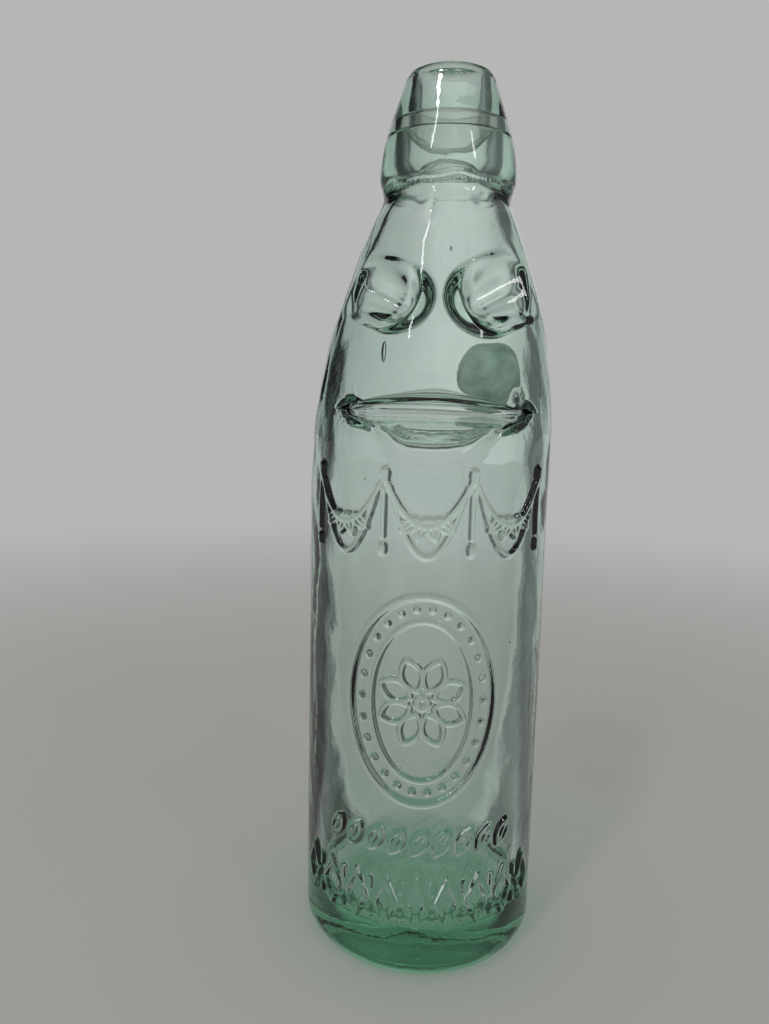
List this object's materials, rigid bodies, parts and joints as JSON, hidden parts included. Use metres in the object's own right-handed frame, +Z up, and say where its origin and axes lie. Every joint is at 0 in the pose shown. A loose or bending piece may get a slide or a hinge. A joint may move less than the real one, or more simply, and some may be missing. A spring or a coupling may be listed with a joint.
{
  "type": "marble stopper bottle",
  "caption": "Thick-walled glass soda bottle closed by a loose glass ball that seals against a rubber ring in the mouth, with a pinched ledge and ears in the neck.",
  "frame": {"origin": "middle of the foot, on the plane that the bottle stands on", "axes": "+Z up through the mouth; the two ears face -Y, the front; +X is the side that the marble lies on"},
  "size_m": [0.0621, 0.062, 0.2198],
  "materials": {
    "bottle_glass": "clear pale aqua blown glass, green where thick, fire-polished with slight waves",
    "ring_rubber": "aged pale gum rubber, satin, slightly see-through",
    "marble_glass": "grey-green glass, surface scuffed to a satin by use"
  },
  "bodies": {
    "bottle": {"glass_body": "bottle_glass", "applied_lip": "bottle_glass", "sealing_ring": "ring_rubber"},
    "marble": {"glass_marble": "marble_glass"}
  },
  "joints": [
    {"name": "marble_travel", "type": "slide", "parent": "bottle", "child": "marble", "axis": [-0.2365, -0.0277, 0.9712], "range_m": [0, 0.05411]}
  ]
}
